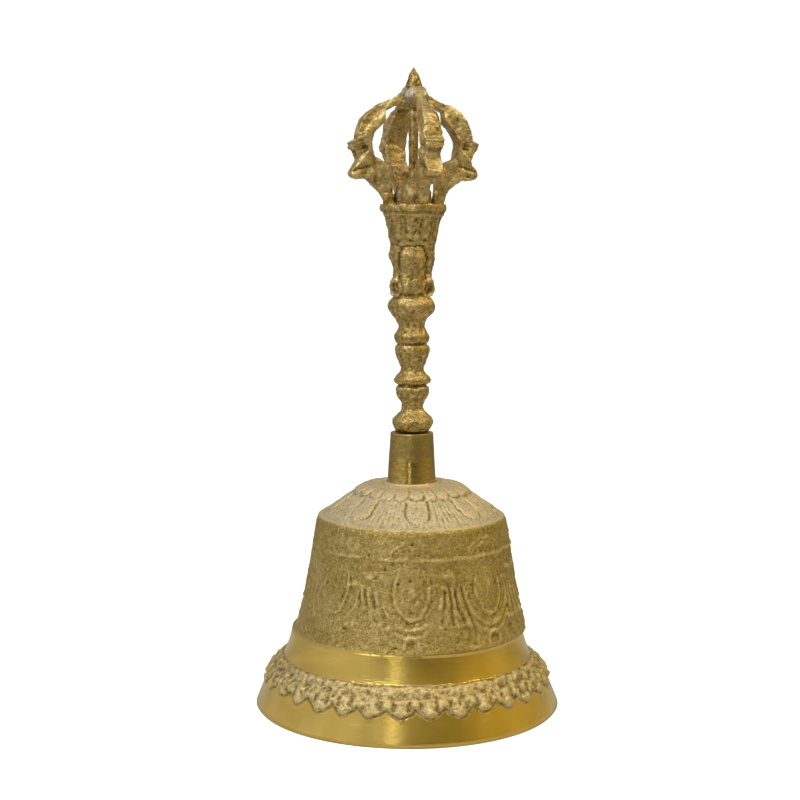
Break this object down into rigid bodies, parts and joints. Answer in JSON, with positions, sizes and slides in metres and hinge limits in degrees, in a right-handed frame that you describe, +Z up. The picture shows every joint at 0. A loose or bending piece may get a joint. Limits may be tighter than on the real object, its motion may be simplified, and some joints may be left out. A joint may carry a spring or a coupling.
{
  "type": "tibetan hand bell",
  "caption": "Cast brass Tibetan hand bell: turned lip and band, relief waist, baluster handle topped by a pronged cage and spike, and a clapper that swings inside.",
  "frame": {"origin": "centre of the lip, on the plane that the bell stands on", "axes": "+Z up the bell's axis towards the spike, -Y towards the front"},
  "size_m": [0.084, 0.084, 0.174],
  "materials": {
    "cast_brass": "matte sand-cast brass with a fine grain, left as cast",
    "handle_brass": "darker cast brass, worn shiny on its high spots",
    "turned_brass": "bright turned brass with fine turning lines",
    "solder": "dull grey solder",
    "iron": "dark drawn iron wire"
  },
  "bodies": {
    "bell": {"bell_shell": "cast_brass", "ferrule": "turned_brass", "ferrule_braze": "solder", "tang_solder": "solder", "handle_shaft": "handle_brass", "prong_front": "handle_brass", "prong_right": "handle_brass", "prong_back": "handle_brass", "prong_left": "handle_brass", "solder_bed": "solder", "centre_rod": "handle_brass", "solder_cap": "solder", "finial_spike": "handle_brass"},
    "hanger": {"hanger_eye": "iron", "hanger_washer": "iron", "hanger_nut": "iron"},
    "clapper": {"clapper_shank": "iron", "clapper_bob": "turned_brass"}
  },
  "joints": [
    {"name": "hanger_swivel", "type": "hinge", "parent": "bell", "child": "hanger", "pos_m": [0, 0, 0.0578], "axis": [0, 0, 1], "continuous": true},
    {"name": "clapper_swing", "type": "hinge", "parent": "hanger", "child": "clapper", "pos_m": [0, 0, 0.0492], "axis": [1, 0, 0], "range_deg": [-36, 36]}
  ]
}
